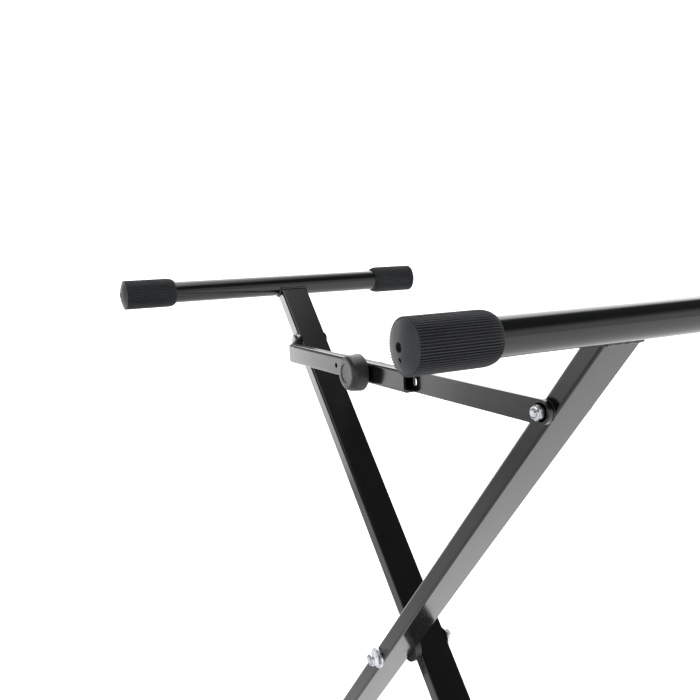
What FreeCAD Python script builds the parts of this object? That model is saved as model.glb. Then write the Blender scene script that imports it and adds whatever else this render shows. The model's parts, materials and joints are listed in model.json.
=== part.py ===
"""Folding keyboard stand: two crossed legs, two rubber-capped arms, two foot tubes and a clamped brace.

Frame: X runs across the stand, Y along the arms with the front at -Y, Z up. The origin is on the floor.
Lengths are in millimetres and angles in degrees.
"""
import FreeCAD, Part
import os
import Sketcher

V = FreeCAD.Vector

# Two lengths closer than this are the same
ROUND_OFF = 1e-6
# Number that a sketch gives its own upright axis
Y_AXIS_OF_SKETCH = -2
# A lock nut's collar as a share of its width, and its wrench flats as a share of its height
COLLAR_SHARE = 0.9
WRENCH_SHARE = 0.75
# A rounding as four flats: its points' distances from the corner along its sides, as shares of its radii
EASE_SHARES = ((1, 0), (0.617, 0.076), (0.293, 0.293), (0.076, 0.617), (0, 1))
# A dome as three flats: its points' shares of the radius and of the rise
DOME_SHARES = ((1, 0), (0.8, 0.36), (0.5, 0.75), (0, 1))

# Driving sizes: name, value
SIZES = (
    # arm and foot tubes
    ("tube_diameter", 25), ("tube_wall", 1.5), ("arm_length", 396.5), ("arm_shift", 5.5),
    ("foot_length", 430),
    # legs: pivot to tube axis, lean from upright, section
    ("leg_half", 465), ("lean_angle", 40.35), ("leg_width", 15), ("leg_depth", 35), ("leg_wall", 1.5),
    ("leg_corner", 2.2), ("legs_gap", 7.4),
    # ribbed rubber sleeves on the arm ends
    ("grip_diameter", 33.4), ("grip_length", 59.5), ("grip_end_wall", 5), ("grip_dome", 3),
    ("grip_shoulder", 3.5), ("grip_shoulder_length", 9), ("rib_count", 60), ("rib_gap_width", 1.1),
    ("rib_depth", 1), ("grip_recess_diameter", 5.6), ("grip_recess_depth", 3),
    ("grip_vent_diameter", 2.6), ("grip_vent_drop", 7), ("grip_fit", 0.05),
    # plain rubber shoes on the foot ends
    ("shoe_diameter", 34), ("shoe_length", 48), ("shoe_end_wall", 5), ("shoe_rounding", 3), ("shoe_flat", 1),
    ("shoe_groove_width", 2), ("shoe_groove_depth", 1.2), ("shoe_groove_pitch", 7), ("shoe_groove_count", 4),
    # centre pivot
    ("pivot_diameter", 8), ("pin_fit", 0.05), ("sleeve_wall", 1.5), ("pivot_spacer_diameter", 28),
    ("pivot_washer_diameter", 20), ("pivot_washer_thickness", 2), ("pivot_head_flats", 13),
    ("pivot_head_height", 5.3), ("pivot_nut_height", 8), ("bolt_overhang", 1),
    # brace pivots
    ("brace_drop", 85), ("brace_bolt_diameter", 6), ("brace_head_flats", 10), ("brace_head_height", 4),
    ("brace_nut_height", 6), ("slip_washer_diameter", 18), ("slip_washer_thickness", 1),
    ("bar_washer_diameter", 14), ("bar_washer_thickness", 1), ("rivet_head_diameter", 14),
    ("rivet_head_height", 2),
    # slotted brace bar
    ("bar_height", 18.4), ("bar_thickness", 4), ("slot_width", 8.6), ("bar_tail", 9), ("close_angle", 7),
    ("open_angle", 5), ("slot_fit", 0.4),
    # pressed brace channel with its cranked end
    ("channel_height", 19.4), ("channel_depth", 9.6), ("sheet", 2.5), ("bend_radius", 3), ("slide_fit", 0.1),
    ("pad_length", 16), ("pad_end", 9.5), ("strap_height", 16.5), ("strap_corner", 0.5), ("strap_lap", 12),
    ("crank_end", 98), ("crank_radius", 6), ("channel_end", 330), ("clamp_place", 258),
    ("lock_hole_diameter", 5), ("lock_hole_place", 207.5),
    # clamp knob, its screw and nut plate
    ("knob_diameter", 35), ("knob_nose_diameter", 32), ("knob_length", 15.5), ("knob_rounding", 5),
    ("knob_dish_diameter", 18), ("knob_dish_depth", 0.6), ("knob_foot_rounding", 1.2), ("screw_diameter", 8),
    ("screw_bite", 9), ("clamp_washer_diameter", 20), ("clamp_washer_thickness", 1.6),
    ("nut_flats", 13), ("nut_height", 6.5), ("strip_length", 132), ("strip_height", 15),
    ("strip_thickness", 2.5),
    # overrun of every cut
    ("overrun", 5),
)

# Sizes worked out from the driving ones: name, formula
WORKED = (
    ("tube_radius", "sizes.tube_diameter / 2"),
    ("foot_axis", "sizes.shoe_diameter / 2 - sizes.shoe_flat"),
    ("pivot_z", "worked.foot_axis + sizes.leg_half * cos(sizes.lean_angle)"),
    ("arm_axis", "worked.pivot_z + sizes.leg_half * cos(sizes.lean_angle)"),
    ("half_spread", "sizes.leg_half * sin(sizes.lean_angle)"),
    ("leg_centre", "(sizes.leg_depth + sizes.legs_gap) / 2"),
    ("leg_inner", "sizes.legs_gap / 2"),
    ("leg_outer", "sizes.legs_gap / 2 + sizes.leg_depth"),
    ("brace_radius", "sizes.leg_half - sizes.brace_drop"),
    ("brace_x", "worked.brace_radius * sin(sizes.lean_angle)"),
    ("brace_z", "worked.pivot_z + worked.brace_radius * cos(sizes.lean_angle)"),
    ("bar_back", "-worked.leg_outer - sizes.slip_washer_thickness"),
    ("bar_front", "worked.bar_back - sizes.bar_thickness"),
    ("channel_back", "worked.bar_front - sizes.slide_fit"),
    ("channel_front", "worked.channel_back - sizes.channel_depth"),
    ("pad_back", "worked.leg_inner - sizes.slip_washer_thickness"),
    ("pad_front", "worked.pad_back - sizes.sheet"),
    ("crank_angle", "atan2(worked.pad_front - worked.channel_front; sizes.crank_end - sizes.pad_length)"),
    ("crank_mitre", "sizes.sheet * tan(worked.crank_angle / 2)"),
    ("crank_outer_radius", "sizes.crank_radius + sizes.sheet"),
    ("run_start", "sizes.crank_end + worked.crank_outer_radius * tan(worked.crank_angle / 2)"),
    ("crank_lap", "worked.run_start + sizes.strap_lap"),
    ("sleeve_diameter", "sizes.pivot_diameter + 2 * sizes.sleeve_wall"),
    ("nut_plate_front", "worked.bar_back + sizes.slide_fit"),
    ("clamp_x", "-worked.brace_x + sizes.clamp_place"),
    ("closed_span", "2 * worked.brace_radius * sin(sizes.lean_angle - sizes.close_angle)"),
    ("opened_span", "2 * worked.brace_radius * sin(sizes.lean_angle + sizes.open_angle)"),
    ("slot_near", "worked.closed_span - sizes.clamp_place - sizes.slot_fit"),
    ("slot_far", "worked.opened_span - sizes.clamp_place + sizes.slot_fit"),
    ("knob_back", "worked.channel_front - sizes.clamp_washer_thickness"),
)


def make_sheets(doc):
    """Puts the driving sizes and the formulas that follow them into two spreadsheets."""
    for title, rows in (("sizes", SIZES), ("worked", WORKED)):
        sheet = doc.addObject("Spreadsheet::Sheet", title)
        for row, (name, value) in enumerate(rows, start=1):
            sheet.set(f"A{row}", name)
            sheet.set(f"B{row}", f"={value}" if title == "worked" else str(value))
            sheet.setAlias(f"B{row}", name)
            if title == "worked":
                doc.recompute()
    doc.recompute()


def size(formula):
    """Value of a formula in the sheets' names, as a plain number."""
    value = doc.getObject("sizes").evalExpression(formula)
    return float(getattr(value, "Value", value))


def bind(item, **formulas):
    """Ties properties of an object to formulas in the sheets' names."""
    for name, formula in formulas.items():
        item.setExpression(name.replace("__", "."), formula)


def place(item, x="0", y="0", z="0", turn=None, angle=None):
    """Puts an object at a point given by formulas; turn is its rotation, angle a formula for its turn."""
    if turn is not None:
        item.Placement = FreeCAD.Placement(V(), turn)
    bind(item, Placement__Base__x=x, Placement__Base__y=y, Placement__Base__z=z)
    if angle is not None:
        bind(item, Placement__Rotation__Angle=angle)
    return item


# Turns that carry a piece's own +Z to the rear or to the front, with its own +Y up
TO_REAR = FreeCAD.Rotation(V(0, 1, 1), 180)
TO_FRONT = FreeCAD.Rotation(V(1, 0, 0), 90)


def origin_plane(body, role):
    return next(item for item in body.Origin.OriginFeatures if item.Role == role)


def new_sketch(body, name, role):
    sketch = body.newObject("Sketcher::SketchObject", name)
    sketch.AttachmentSupport = [(origin_plane(body, role), "")]
    sketch.MapMode = "FlatFace"
    return sketch


def pin_point(sketch, geometry, end, x, y):
    """Fixes one point of a sketch at two formulas, measured from the sketch's origin."""
    for kind, formula in (("DistanceX", x), ("DistanceY", y)):
        index = sketch.addConstraint(Sketcher.Constraint(kind, -1, 1, geometry, end, size(formula)))
        sketch.setExpression(f"Constraints[{index}]", formula)


def draw_outline(sketch, points):
    """Closed outline of straight lines through points given as pairs of formulas."""
    corners = [V(size(x), size(y), 0) for x, y in points]
    count = len(corners)
    sides = [Part.LineSegment(corners[i], corners[(i + 1) % count]) for i in range(count)]
    lines = [sketch.addGeometry(side) for side in sides]
    for i, line in enumerate(lines):
        sketch.addConstraint(Sketcher.Constraint("Coincident", line, 2, lines[(i + 1) % count], 1))
    for line, (x, y) in zip(lines, points):
        pin_point(sketch, line, 1, x, y)


def draw_circle(sketch, x, y, diameter):
    circle = sketch.addGeometry(Part.Circle(V(size(x), size(y), 0), V(0, 0, 1), size(diameter) / 2))
    pin_point(sketch, circle, 3, x, y)
    index = sketch.addConstraint(Sketcher.Constraint("Diameter", circle, size(diameter)))
    sketch.setExpression(f"Constraints[{index}]", diameter)


def pad(body, sketch, length, midplane=False, reverse=False):
    feature = body.newObject("PartDesign::Pad", f"{sketch.Name}_pad")
    feature.Profile = sketch
    feature.SideType = "Symmetric" if midplane else "One side"
    feature.Reversed = reverse
    feature.setExpression("Length", length)
    return feature


def cut_through(body, sketch):
    """Pocket through everything on both sides of its sketch."""
    feature = body.newObject("PartDesign::Pocket", f"{sketch.Name}_cut")
    feature.Profile = sketch
    feature.Type = "ThroughAll"
    feature.SideType = "Symmetric"
    return feature


def cut_blind(body, sketch, depth, reverse=False):
    feature = body.newObject("PartDesign::Pocket", f"{sketch.Name}_cut")
    feature.Profile = sketch
    feature.Reversed = reverse
    feature.setExpression("Length", depth)
    return feature


def revolve(body, sketch):
    feature = body.newObject("PartDesign::Revolution", f"{sketch.Name}_turned")
    feature.Profile = sketch
    feature.ReferenceAxis = (sketch, ["V_Axis"])
    feature.Angle = 360
    return feature


def round_edges(body, base, radius, chosen):
    """Fillet on the edges of base that chosen accepts."""
    doc.recompute()
    names = [f"Edge{i}" for i, edge in enumerate(base.Shape.Edges, start=1) if chosen(edge)]
    feature = body.newObject("PartDesign::Fillet", f"{base.Name}_rounded")
    feature.Base = (base, names)
    feature.setExpression("Radius", radius)
    return feature


def new_body(label):
    body = doc.addObject("PartDesign::Body", label)
    body.Label = label
    return body


def runs_along(edge, axis):
    """True for a straight edge parallel to one of the piece's own axes."""
    if edge.Degenerated or not isinstance(edge.Curve, Part.Line):
        return False
    return abs(abs(getattr(edge.tangentAt(edge.FirstParameter), axis)) - 1) < ROUND_OFF


def passes(edge, **distances):
    """True for an edge whose middle lies at these distances from the piece's own axes, on either side."""
    middle = edge.CenterOfMass
    misses = [abs(getattr(middle, axis)) - abs(size(there)) for axis, there in distances.items()]
    return all(abs(miss) < ROUND_OFF for miss in misses)


def rectangle(x0, y0, x1, y1):
    """Corners of a rectangle from two opposite corners given as formulas."""
    return ((x0, y0), (x1, y0), (x1, y1), (x0, y1))


def draw_slot(sketch, near, far, width):
    """Round-ended slot along the sketch's X axis, from one end's centre to the other's."""
    radius = size(width) / 2
    left = V(size(near), 0, 0)
    right = V(size(far), 0, 0)
    rise = V(0, radius, 0)
    run = V(radius, 0, 0)
    end_a = sketch.addGeometry(Part.Arc(left + rise, left - run, left - rise))
    floor = sketch.addGeometry(Part.LineSegment(left - rise, right - rise))
    end_b = sketch.addGeometry(Part.Arc(right - rise, right + run, right + rise))
    roof = sketch.addGeometry(Part.LineSegment(right + rise, left + rise))
    for first, second in ((end_a, floor), (floor, end_b), (end_b, roof), (roof, end_a)):
        sketch.addConstraint(Sketcher.Constraint("Tangent", first, 2, second, 1))
    pin_point(sketch, end_a, 3, near, "0")
    pin_point(sketch, end_b, 3, far, "0")
    sketch.addConstraint(Sketcher.Constraint("Equal", end_a, end_b))
    index = sketch.addConstraint(Sketcher.Constraint("Diameter", end_a, size(width)))
    sketch.setExpression(f"Constraints[{index}]", width)


def eased(x, y, start, end):
    """Points that ease a square corner; start and end are its sides: direction away from it, and radius."""
    start_x, start_y, start_radius = start
    end_x, end_y, end_radius = end
    return [(f"{x} + ({near * start_x}) * {start_radius} + ({far * end_x}) * {end_radius}",
             f"{y} + ({near * start_y}) * {start_radius} + ({far * end_y}) * {end_radius}")
            for near, far in EASE_SHARES]


def leg(label, y, angle):
    """Rectangular tube with saddled ends; its own Z runs up the leg from the centre pivot."""
    body = new_body(label)
    section = new_sketch(body, f"{label}_section", "XY_Plane")
    for inset in ("0", "sizes.leg_wall"):
        across = f"(sizes.leg_width / 2 - {inset})"
        along = f"(sizes.leg_depth / 2 - {inset})"
        draw_outline(section, rectangle(f"-{across}", f"-{along}", across, along))
    bar = pad(body, section, "2 * sizes.leg_half", midplane=True)

    def outer_corner(edge):
        return runs_along(edge, "z") and passes(edge, x="sizes.leg_width / 2", y="sizes.leg_depth / 2")

    round_edges(body, bar, "sizes.leg_corner", outer_corner)
    holes = new_sketch(body, f"{label}_holes", "XZ_Plane")
    draw_circle(holes, "0", "sizes.leg_half", "sizes.tube_diameter")
    draw_circle(holes, "0", "-sizes.leg_half", "sizes.tube_diameter")
    draw_circle(holes, "0", "0", "worked.sleeve_diameter")
    draw_circle(holes, "0", "worked.brace_radius", "sizes.brace_bolt_diameter")
    cut_through(body, holes)
    turn = FreeCAD.Rotation(V(0, 1, 0), size(angle))
    return place(body, y=y, z="worked.pivot_z", turn=turn, angle=angle)


def tube(label, x, y, z, length):
    """Round tube along Y, by its middle."""
    body = new_body(label)
    section = new_sketch(body, f"{label}_section", "XY_Plane")
    draw_circle(section, "0", "0", "sizes.tube_diameter")
    draw_circle(section, "0", "0", "sizes.tube_diameter - 2 * sizes.tube_wall")
    pad(body, section, length, midplane=True)
    return place(body, x=x, y=y, z=z, turn=TO_REAR)


def grip(label, x, y, turn):
    """Ribbed rubber sleeve with a domed end; its own Z runs from its mouth to its end."""
    body = new_body(label)
    bore = "worked.tube_radius + sizes.grip_fit"
    outer = "sizes.grip_diameter / 2"
    apex = "sizes.grip_length + sizes.grip_dome"
    seat = "sizes.grip_length - sizes.grip_end_wall"
    rim = "sizes.grip_length"
    dome = [(f"{outer} * {across}", f"{rim} + sizes.grip_dome * {up}") for across, up in DOME_SHARES]
    shoulder = eased(outer, "0", (-1, 0, "sizes.grip_shoulder"), (0, 1, "sizes.grip_shoulder_length"))
    profile = new_sketch(body, f"{label}_profile", "XZ_Plane")
    draw_outline(profile, [(bore, "0"), *shoulder, *dome, ("0", seat), (bore, seat)])
    revolve(body, profile)
    dimples = new_sketch(body, f"{label}_dimples", "XY_Plane")
    bind(dimples, AttachmentOffset__Base__z=apex)
    draw_circle(dimples, "0", "0", "sizes.grip_recess_diameter")
    draw_circle(dimples, "0", "-sizes.grip_vent_drop", "sizes.grip_vent_diameter")
    cut_blind(body, dimples, "sizes.grip_recess_depth")
    groove = new_sketch(body, f"{label}_groove", "XY_Plane")
    lip = "sizes.grip_diameter / 2 + sizes.rib_depth"
    draw_outline(groove, ((lip, "-sizes.rib_gap_width"), (lip, "sizes.rib_gap_width"),
                          ("sizes.grip_diameter / 2 - sizes.rib_depth", "0")))
    first = cut_through(body, groove)
    ribs = body.newObject("PartDesign::PolarPattern", f"{label}_ribs")
    ribs.Originals = [first]
    ribs.Axis = (origin_plane(body, "Z_Axis"), [""])
    ribs.Angle = 360
    bind(ribs, Occurrences="sizes.rib_count")
    body.Tip = ribs
    return place(body, x=x, y=y, z="worked.arm_axis", turn=turn)


def shoe(label, x, y, turn):
    """Grooved rubber shoe with a flat sole; its own Z runs from mouth to end and its own -Y points down."""
    body = new_body(label)
    bore = "worked.tube_radius + sizes.grip_fit"
    outer = "sizes.shoe_diameter / 2"
    seat = "sizes.shoe_length - sizes.shoe_end_wall"
    end = "sizes.shoe_length"
    radius = "sizes.shoe_rounding"
    points = [(bore, "0"), *eased(outer, "0", (-1, 0, radius), (0, 1, radius))]
    for ring in range(int(size("sizes.shoe_groove_count"))):
        start = f"{ring + 1} * sizes.shoe_groove_pitch"
        floor = f"{outer} - sizes.shoe_groove_depth"
        stop = f"{start} + sizes.shoe_groove_width"
        points += [(outer, start), (floor, start), (floor, stop), (outer, stop)]
    points += eased(outer, end, (0, -1, radius), (-1, 0, radius))
    points += [("0", end), ("0", seat), (bore, seat)]
    profile = new_sketch(body, f"{label}_profile", "XZ_Plane")
    draw_outline(profile, points)
    revolve(body, profile)
    sole = new_sketch(body, f"{label}_sole", "XY_Plane")
    below = f"-{outer} - sizes.overrun"
    draw_outline(sole, rectangle(f"-{outer}", below, outer, f"-({outer} - sizes.shoe_flat)"))
    cut_through(body, sole)
    return place(body, x=x, y=y, z="worked.foot_axis", turn=turn)


def cylinder(name, diameter, height, start="0"):
    """Cylinder along its own Z, from start."""
    item = doc.addObject("Part::Cylinder", name)
    bind(item, Radius=f"({diameter}) / 2", Height=height, Placement__Base__z=start)
    return item


def hexagon(name, flats, height, start="0"):
    """Six-sided prism along its own Z, from start, by its width across flats."""
    item = doc.addObject("Part::Prism", name)
    item.Polygon = 6
    bind(item, Circumradius=f"({flats}) / sqrt(3)", Height=height, Placement__Base__z=start)
    return item


def fuse(label, pieces):
    item = doc.addObject("Part::MultiFuse", label)
    item.Shapes = pieces
    item.Label = label
    return item


def cut(label, base, tool):
    item = doc.addObject("Part::Cut", label)
    item.Base = base
    item.Tool = tool
    item.Label = label
    return item


def group(label, pieces):
    """Several equal loose solids under one name."""
    item = doc.addObject("Part::Compound", label)
    item.Links = pieces
    item.Label = label
    return item


def ring(label, outer, inner, height):
    """Washer, sleeve or spacer along its own Z, from zero."""
    hole = cylinder(f"{label}_hole", inner, f"{height} + 2 * sizes.overrun", "-sizes.overrun")
    return cut(label, cylinder(f"{label}_disc", outer, height), hole)


def hex_bolt(label, diameter, flats, head, shank):
    """Bolt with its head below zero and its shank along its own +Z."""
    return fuse(label, [hexagon(f"{label}_head", flats, head, f"-({head})"),
                        cylinder(f"{label}_shank", diameter, shank, f"-({head})")])


def lock_nut(label, diameter, flats, height):
    """Nut along its own Z with a round collar that holds the locking ring."""
    collar = cylinder(f"{label}_collar", f"{flats} * {COLLAR_SHARE}", height)
    wrench = hexagon(f"{label}_wrench", flats, f"{height} * {WRENCH_SHARE}")
    hole = cylinder(f"{label}_hole", diameter, f"{height} + 2 * sizes.overrun", "-sizes.overrun")
    return cut(label, fuse(f"{label}_blank", [wrench, collar]), hole)


def brace_bar():
    """Round-ended flat bar with its long slot; its own origin is its pivot and it runs towards -X."""
    body = new_body("brace_bar")
    outline = new_sketch(body, "bar_outline", "XZ_Plane")
    draw_slot(outline, "-worked.slot_far - sizes.bar_tail", "0", "sizes.bar_height")
    bind(outline, AttachmentOffset__Base__z="-worked.bar_front")
    pad(body, outline, "sizes.bar_thickness", reverse=True)
    slot = new_sketch(body, "bar_slot", "XZ_Plane")
    draw_slot(slot, "-worked.slot_far", "-worked.slot_near", "sizes.slot_width")
    cut_through(body, slot)
    hole = new_sketch(body, "bar_pivot_hole", "XZ_Plane")
    draw_circle(hole, "0", "0", "sizes.brace_bolt_diameter + 2 * sizes.pin_fit")
    cut_through(body, hole)
    return place(body, x="worked.brace_x", z="worked.brace_z")


def brace_channel():
    """Pressed channel, open to the rear, with a cranked end that reaches back to the rear leg.

    Its own origin is its pivot and it runs towards +X.
    """
    half = "sizes.channel_height / 2"
    run = new_body("channel_run")
    section = new_sketch(run, "channel_section", "YZ_Plane")
    lip = f"({half} - sizes.sheet)"
    web = "worked.channel_front + sizes.sheet"
    draw_outline(section, (("worked.channel_front", f"-{half}"), ("worked.channel_back", f"-{half}"),
                           ("worked.channel_back", f"-{lip}"), (web, f"-{lip}"), (web, lip),
                           ("worked.channel_back", lip), ("worked.channel_back", half),
                           ("worked.channel_front", half)))
    bind(section, AttachmentOffset__Base__z="worked.run_start")
    length = pad(run, section, "sizes.channel_end - worked.run_start")
    round_edges(run, length, "sizes.bend_radius",
                lambda edge: runs_along(edge, "x") and passes(edge, y="worked.channel_front", z=half))
    crank = new_body("channel_crank")
    strip = new_sketch(crank, "crank_strip", "XY_Plane")
    front = "worked.channel_front"
    inner_bends = (("sizes.pad_length", "worked.pad_front"), ("sizes.crank_end + worked.crank_mitre", web))
    outer_bends = (("sizes.crank_end", front), ("sizes.pad_length + worked.crank_mitre", "worked.pad_back"))
    draw_outline(strip, (("-sizes.pad_end", "worked.pad_front"), inner_bends[0], outer_bends[0],
                         ("worked.crank_lap", front), ("worked.crank_lap", web),
                         inner_bends[1], outer_bends[1],
                         ("-sizes.pad_end", "worked.pad_back")))
    strap = pad(crank, strip, "sizes.strap_height", midplane=True)

    def pad_corner(edge):
        return runs_along(edge, "y") and passes(edge, x="sizes.pad_end", z="sizes.strap_height / 2")

    def bend_edge(bends):
        return lambda edge: runs_along(edge, "z") and any(passes(edge, x=x, y=y) for x, y in bends)

    bent = round_edges(crank, strap, "sizes.crank_radius", bend_edge(inner_bends))
    bent = round_edges(crank, bent, "worked.crank_outer_radius", bend_edge(outer_bends))
    round_edges(crank, bent, "sizes.strap_height / 2 - sizes.strap_corner", pad_corner)
    depth = "worked.pad_back - worked.channel_front + 2 * sizes.overrun"
    holes = [cylinder("channel_pivot_hole", "sizes.brace_bolt_diameter + 2 * sizes.pin_fit", depth),
             cylinder("channel_clamp_hole", "sizes.screw_diameter + 2 * sizes.pin_fit", depth),
             cylinder("channel_lock_hole", "sizes.lock_hole_diameter", depth)]
    for hole, along in zip(holes, ("0", "sizes.clamp_place", "sizes.lock_hole_place")):
        place(hole, x=along, y="worked.channel_front - sizes.overrun", turn=TO_REAR)
    channel = cut("brace_channel", fuse("channel_blank", [run, crank]), fuse("channel_holes", holes))
    return place(channel, x="-worked.brace_x", z="worked.brace_z")


def clamp_knob():
    """Round moulded knob with a shallow dish in its nose; its own Z runs from its back to its nose."""
    body = new_body("clamp_knob")
    bore = "sizes.screw_diameter / 2"
    dish = "sizes.knob_dish_diameter / 2"
    floor = "sizes.knob_length - sizes.knob_dish_depth"
    profile = new_sketch(body, "knob_profile", "XZ_Plane")
    top = "sizes.knob_length"
    foot_radius = "sizes.knob_foot_rounding"
    nose_radius = "sizes.knob_rounding"
    foot = eased("sizes.knob_diameter / 2", "0", (-1, 0, foot_radius), (0, 1, foot_radius))
    nose = eased("sizes.knob_nose_diameter / 2", top, (0, -1, nose_radius), (-1, 0, nose_radius))
    draw_outline(profile, [(bore, "0"), *foot, *nose, (dish, top), (dish, floor), ("0", floor),
                           ("0", "sizes.screw_bite"), (bore, "sizes.screw_bite")])
    revolve(body, profile)
    return place(body, x="worked.clamp_x", y="worked.knob_back", z="worked.brace_z", turn=TO_FRONT)


def clamp_nut():
    """Backing strip behind the bar, with the screw's nut welded on."""
    at = {"x": "worked.clamp_x", "z": "worked.brace_z"}
    front = "worked.nut_plate_front"
    strip = doc.addObject("Part::Box", "clamp_strip")
    bind(strip, Length="sizes.strip_length", Width="sizes.strip_thickness", Height="sizes.strip_height")
    place(strip, x="worked.clamp_x - sizes.strip_length / 2", y=front,
          z="worked.brace_z - sizes.strip_height / 2")
    nut = hexagon("clamp_hexagon", "sizes.nut_flats", "sizes.nut_height")
    place(nut, y=f"{front} + sizes.strip_thickness", turn=TO_REAR, **at)
    hole = cylinder("clamp_nut_hole", "sizes.screw_diameter + 2 * sizes.pin_fit",
                    "sizes.strip_thickness + sizes.nut_height + 2 * sizes.overrun")
    place(hole, y=f"{front} - sizes.overrun", turn=TO_REAR, **at)
    return cut("clamp_nut", fuse("clamp_nut_blank", [strip, nut]), hole)


def centre_pivot():
    """Bolt, spacer, end washers and nut that the two legs turn on."""
    at = {"z": "worked.pivot_z", "turn": TO_FRONT}
    shank = "sizes.pivot_diameter"
    flats = "sizes.pivot_head_flats"
    head = "sizes.pivot_head_height"
    washer = "sizes.pivot_washer_thickness"
    rear = f"worked.leg_outer + {washer}"
    reach = f"2 * ({rear}) + sizes.pivot_nut_height + sizes.bolt_overhang"
    bolt = place(hex_bolt("pivot_bolt", shank, flats, head, f"{reach} + {head}"), y=rear, **at)
    spacer = ring("pivot_spacer", "sizes.pivot_spacer_diameter", shank, "sizes.legs_gap")
    place(spacer, y="worked.leg_inner", **at)
    front_washer = ring("pivot_front_washer", "sizes.pivot_washer_diameter", shank, washer)
    rear_washer = ring("pivot_rear_washer", "sizes.pivot_washer_diameter", shank, washer)
    washers = [place(front_washer, y="-worked.leg_outer", **at), place(rear_washer, y=rear, **at)]
    nut = place(lock_nut("pivot_nut", shank, flats, "sizes.pivot_nut_height"), y=f"-({rear})", **at)
    return [bolt, spacer, group("pivot_washers", washers), nut]


def leg_sleeve(label, y):
    """Steel sleeve through a leg that the centre bolt runs in."""
    bore = "sizes.pivot_diameter + 2 * sizes.pin_fit"
    sleeve = ring(label, "worked.sleeve_diameter", bore, "sizes.leg_depth")
    return place(sleeve, y=y, z="worked.pivot_z", turn=TO_FRONT)


def bar_pivot():
    """Bolt from behind the front leg, slip washer, washer and lock nut in front of the bar."""
    at = {"x": "worked.brace_x", "z": "worked.brace_z", "turn": TO_FRONT}
    shank = "sizes.brace_bolt_diameter"
    flats = "sizes.brace_head_flats"
    head = "sizes.brace_head_height"
    washer_height = "sizes.bar_washer_thickness"
    seat = f"worked.bar_front - {washer_height}"
    reach = f"-worked.leg_inner - ({seat}) + sizes.brace_nut_height + sizes.bolt_overhang"
    bolt = hex_bolt("bar_pivot_bolt", shank, flats, head, f"{reach} + {head}")
    place(bolt, y="-worked.leg_inner", **at)
    slip = ring("bar_slip_washer", "sizes.slip_washer_diameter", shank, "sizes.slip_washer_thickness")
    place(slip, y="-worked.leg_outer", **at)
    washer = ring("bar_washer", "sizes.bar_washer_diameter", shank, washer_height)
    place(washer, y="worked.bar_front", **at)
    nut = lock_nut("bar_pivot_nut", shank, flats, "sizes.brace_nut_height")
    place(nut, y=seat, **at)
    return [bolt, slip, washer, nut]


def channel_pivot():
    """Rivet, flat-headed at either end, through the channel's pad and the rear leg, and its slip washer."""
    at = {"x": "-worked.brace_x", "z": "worked.brace_z", "turn": TO_REAR}
    shank = "sizes.brace_bolt_diameter"
    head = "sizes.rivet_head_height"
    disc = "sizes.rivet_head_diameter"
    reach = "worked.leg_outer - worked.pad_front"
    rivet = fuse("channel_pivot_rivet",
                 [cylinder("channel_rivet_head", disc, head, f"-{head}"),
                  cylinder("channel_rivet_shank", shank, f"{reach} + 2 * {head}", f"-{head}"),
                  cylinder("channel_rivet_tail", disc, head, reach)])
    place(rivet, y="worked.pad_front", **at)
    slip = ring("channel_slip_washer", "sizes.slip_washer_diameter", shank, "sizes.slip_washer_thickness")
    place(slip, y="worked.pad_back", **at)
    return [rivet, slip]


def clamp_hardware():
    """Screw moulded into the knob, and the washer under the knob."""
    at = {"x": "worked.clamp_x", "z": "worked.brace_z"}
    tip = "worked.nut_plate_front + sizes.strip_thickness + sizes.nut_height + sizes.bolt_overhang"
    screw = cylinder("clamp_screw", "sizes.screw_diameter", f"{tip} - worked.knob_back + sizes.screw_bite")
    screw.Label = "clamp_screw"
    place(screw, y="worked.knob_back - sizes.screw_bite", turn=TO_REAR, **at)
    washer = ring("clamp_washer", "sizes.clamp_washer_diameter", "sizes.screw_diameter",
                  "sizes.clamp_washer_thickness")
    place(washer, y="worked.channel_front", turn=TO_FRONT, **at)
    return [screw, washer]


def tube_with_ends(name, x, z, length, middle, end, reach, stop):
    """A tube with an end piece at either end; reach runs to the end piece's mouth and stop to the tube."""
    pieces = [tube(f"{name}_tube", x, middle, z, f"{length} - 2 * ({stop})")]
    for side, sign, turn in (("front", "-", TO_FRONT), ("rear", "+", TO_REAR)):
        mouth = f"{middle} {sign} ({length} / 2 - {reach})"
        pieces.append(end(f"{name}_{side}_{end.__name__}", x, mouth, turn))
    return pieces


def check(items):
    """Stops the build if any object failed or any piece is empty or broken."""
    for item in doc.Objects:
        if "Invalid" in item.State or "Error" in item.State:
            raise RuntimeError(f"{item.Label} failed: {item.State}")
    for item in items:
        if item.Shape.isNull() or not item.Shape.isValid() or not item.Shape.Solids:
            raise RuntimeError(f"{item.Label} has no sound solid")


doc = FreeCAD.newDocument("keyboard_stand")
make_sheets(doc)

GRIP_REACH = "(sizes.grip_dome + sizes.grip_length)"
GRIP_STOP = "sizes.grip_dome + sizes.grip_end_wall"
ARM = ("worked.arm_axis", "sizes.arm_length", "sizes.arm_shift", grip, GRIP_REACH, GRIP_STOP)
FOOT = ("worked.foot_axis", "sizes.foot_length", "0", shoe, "sizes.shoe_length", "sizes.shoe_end_wall")

pieces = [
    leg("rear_leg", "worked.leg_centre", "-sizes.lean_angle"),
    leg("front_leg", "-worked.leg_centre", "sizes.lean_angle"),
    leg_sleeve("rear_leg_sleeve", "worked.leg_outer"),
    leg_sleeve("front_leg_sleeve", "-worked.leg_inner"),
    brace_bar(), brace_channel(), clamp_knob(), clamp_nut(),
    *tube_with_ends("left_arm", "-worked.half_spread", *ARM),
    *tube_with_ends("right_arm", "worked.half_spread", *ARM),
    *tube_with_ends("left_foot", "-worked.half_spread", *FOOT),
    *tube_with_ends("right_foot", "worked.half_spread", *FOOT),
    *centre_pivot(), *bar_pivot(), *channel_pivot(), *clamp_hardware(),
]
doc.recompute()
check(pieces)

os.makedirs("parts", exist_ok=True)
for piece in pieces:
    piece.Shape.exportStep(f"parts/{piece.Label}.step")
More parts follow.
